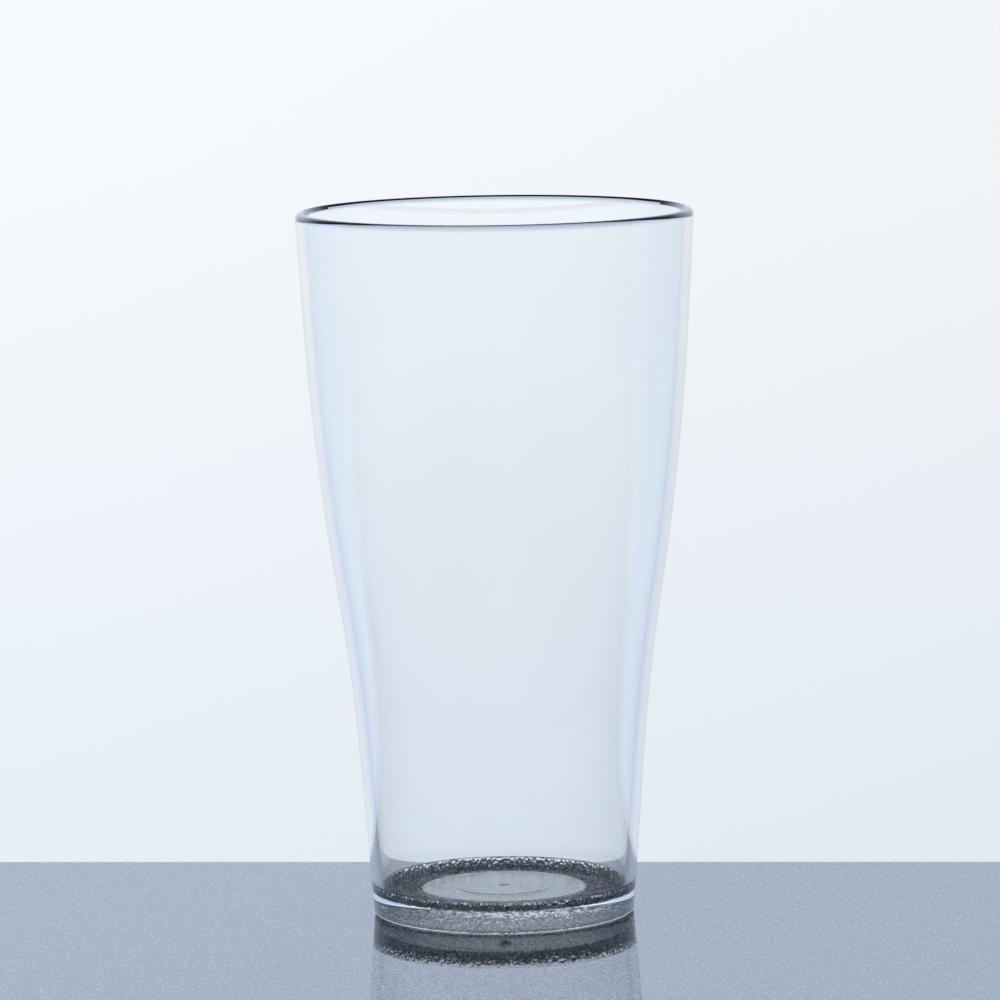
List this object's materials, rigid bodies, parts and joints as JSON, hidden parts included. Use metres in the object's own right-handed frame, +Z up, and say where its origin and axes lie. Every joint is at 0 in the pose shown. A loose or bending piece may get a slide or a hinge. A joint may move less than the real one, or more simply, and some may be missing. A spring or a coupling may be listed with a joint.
{
  "type": "pint tumbler",
  "caption": "Clear plastic pint tumbler with a narrow straight foot that flares to a wide lip, a thick solid base with a stippled channel around its floor, and a shallow recess underneath.",
  "frame": {"origin": "centre of the foot, on the surface that the tumbler stands on", "axes": "+Z up the tumbler's axis of revolution, from the foot to the open lip"},
  "size_m": [0.0872, 0.0872, 0.156],
  "materials": {
    "clear_plastic": "clear, colourless, polished, with a moulded stipple in the channel around the floor and on the underside"
  },
  "bodies": {
    "root": {"tumbler": "clear_plastic"}
  },
  "joints": []
}
